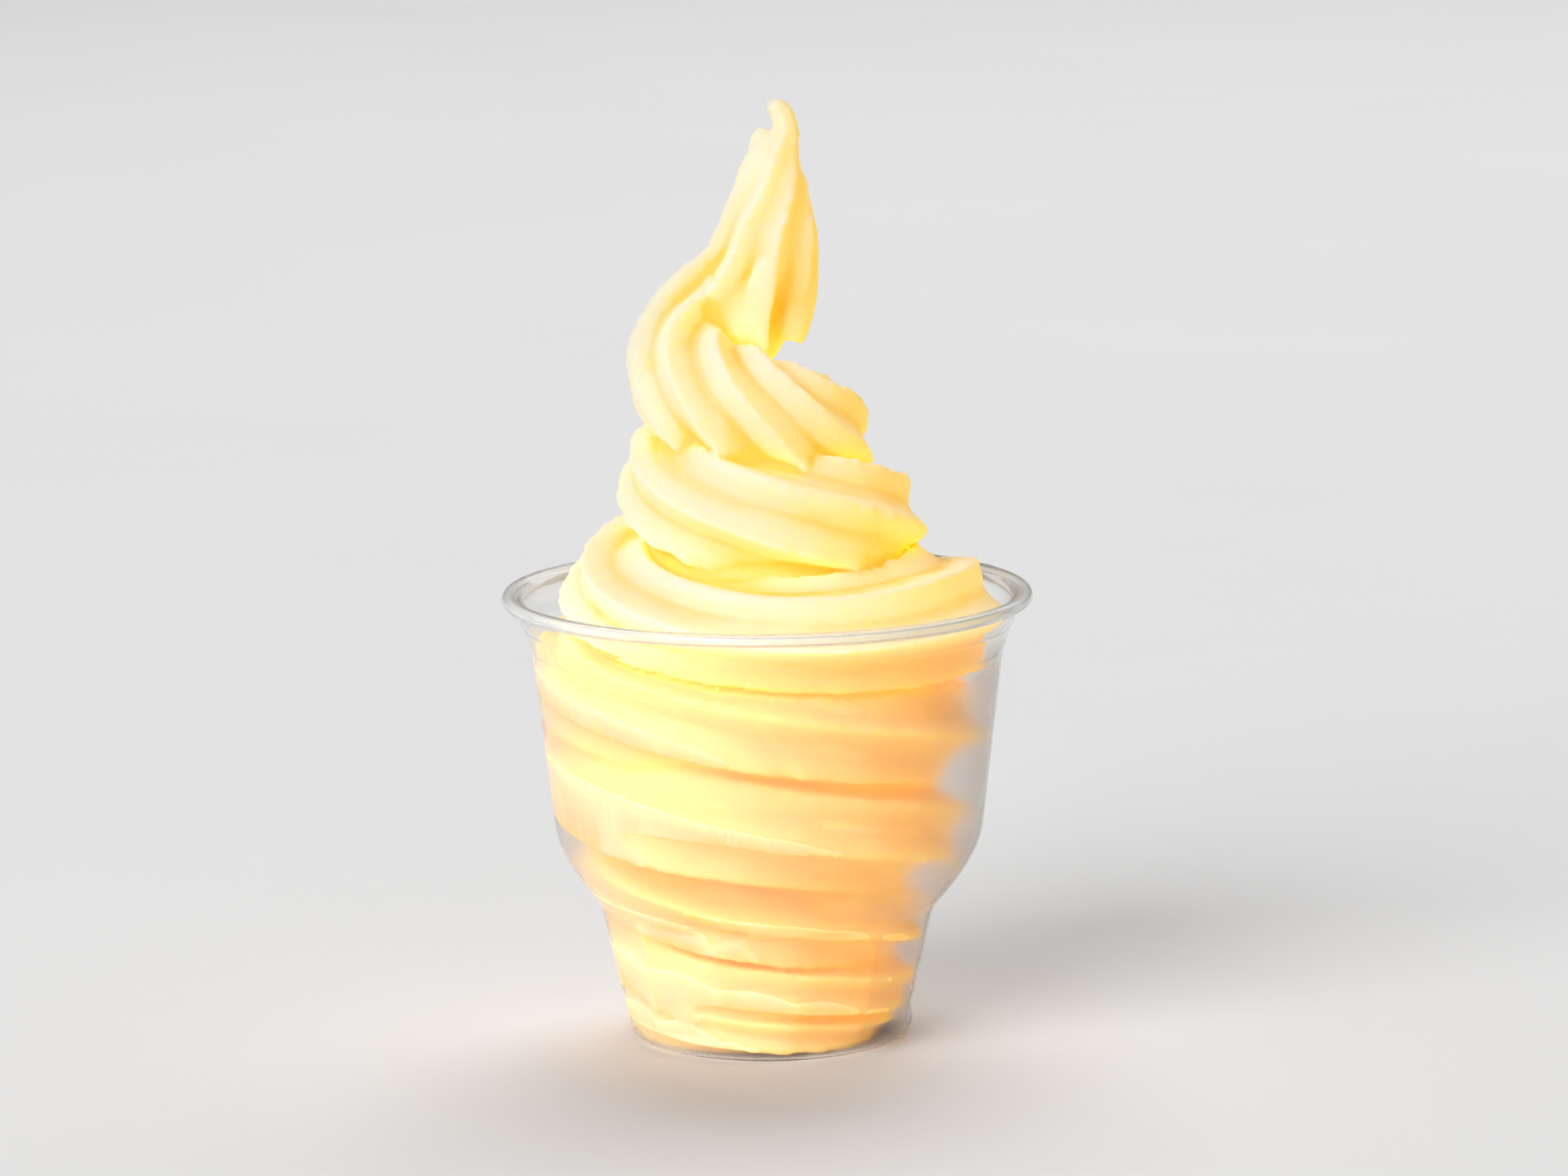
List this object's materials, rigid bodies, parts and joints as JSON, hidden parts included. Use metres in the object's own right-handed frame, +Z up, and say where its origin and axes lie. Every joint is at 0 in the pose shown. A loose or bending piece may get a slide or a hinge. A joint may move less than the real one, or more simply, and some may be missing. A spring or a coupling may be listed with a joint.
{
  "type": "soft serve cup",
  "caption": "Clear plastic sundae cup filled with yellow soft serve, a ridged rope that winds up from the base and rises above the rim to a hooked tip.",
  "frame": {"origin": "middle of the cup's flat base", "axes": "+Z up along the cup's axis, -Y towards the side that the picture shows, +X to the right of that view"},
  "size_m": [0.0978, 0.0978, 0.1748],
  "materials": {
    "clear_plastic": "clear, glossy",
    "soft_serve": "soft satin"
  },
  "bodies": {
    "root": {"cup": "clear_plastic", "soft_serve": "soft_serve"}
  },
  "joints": []
}
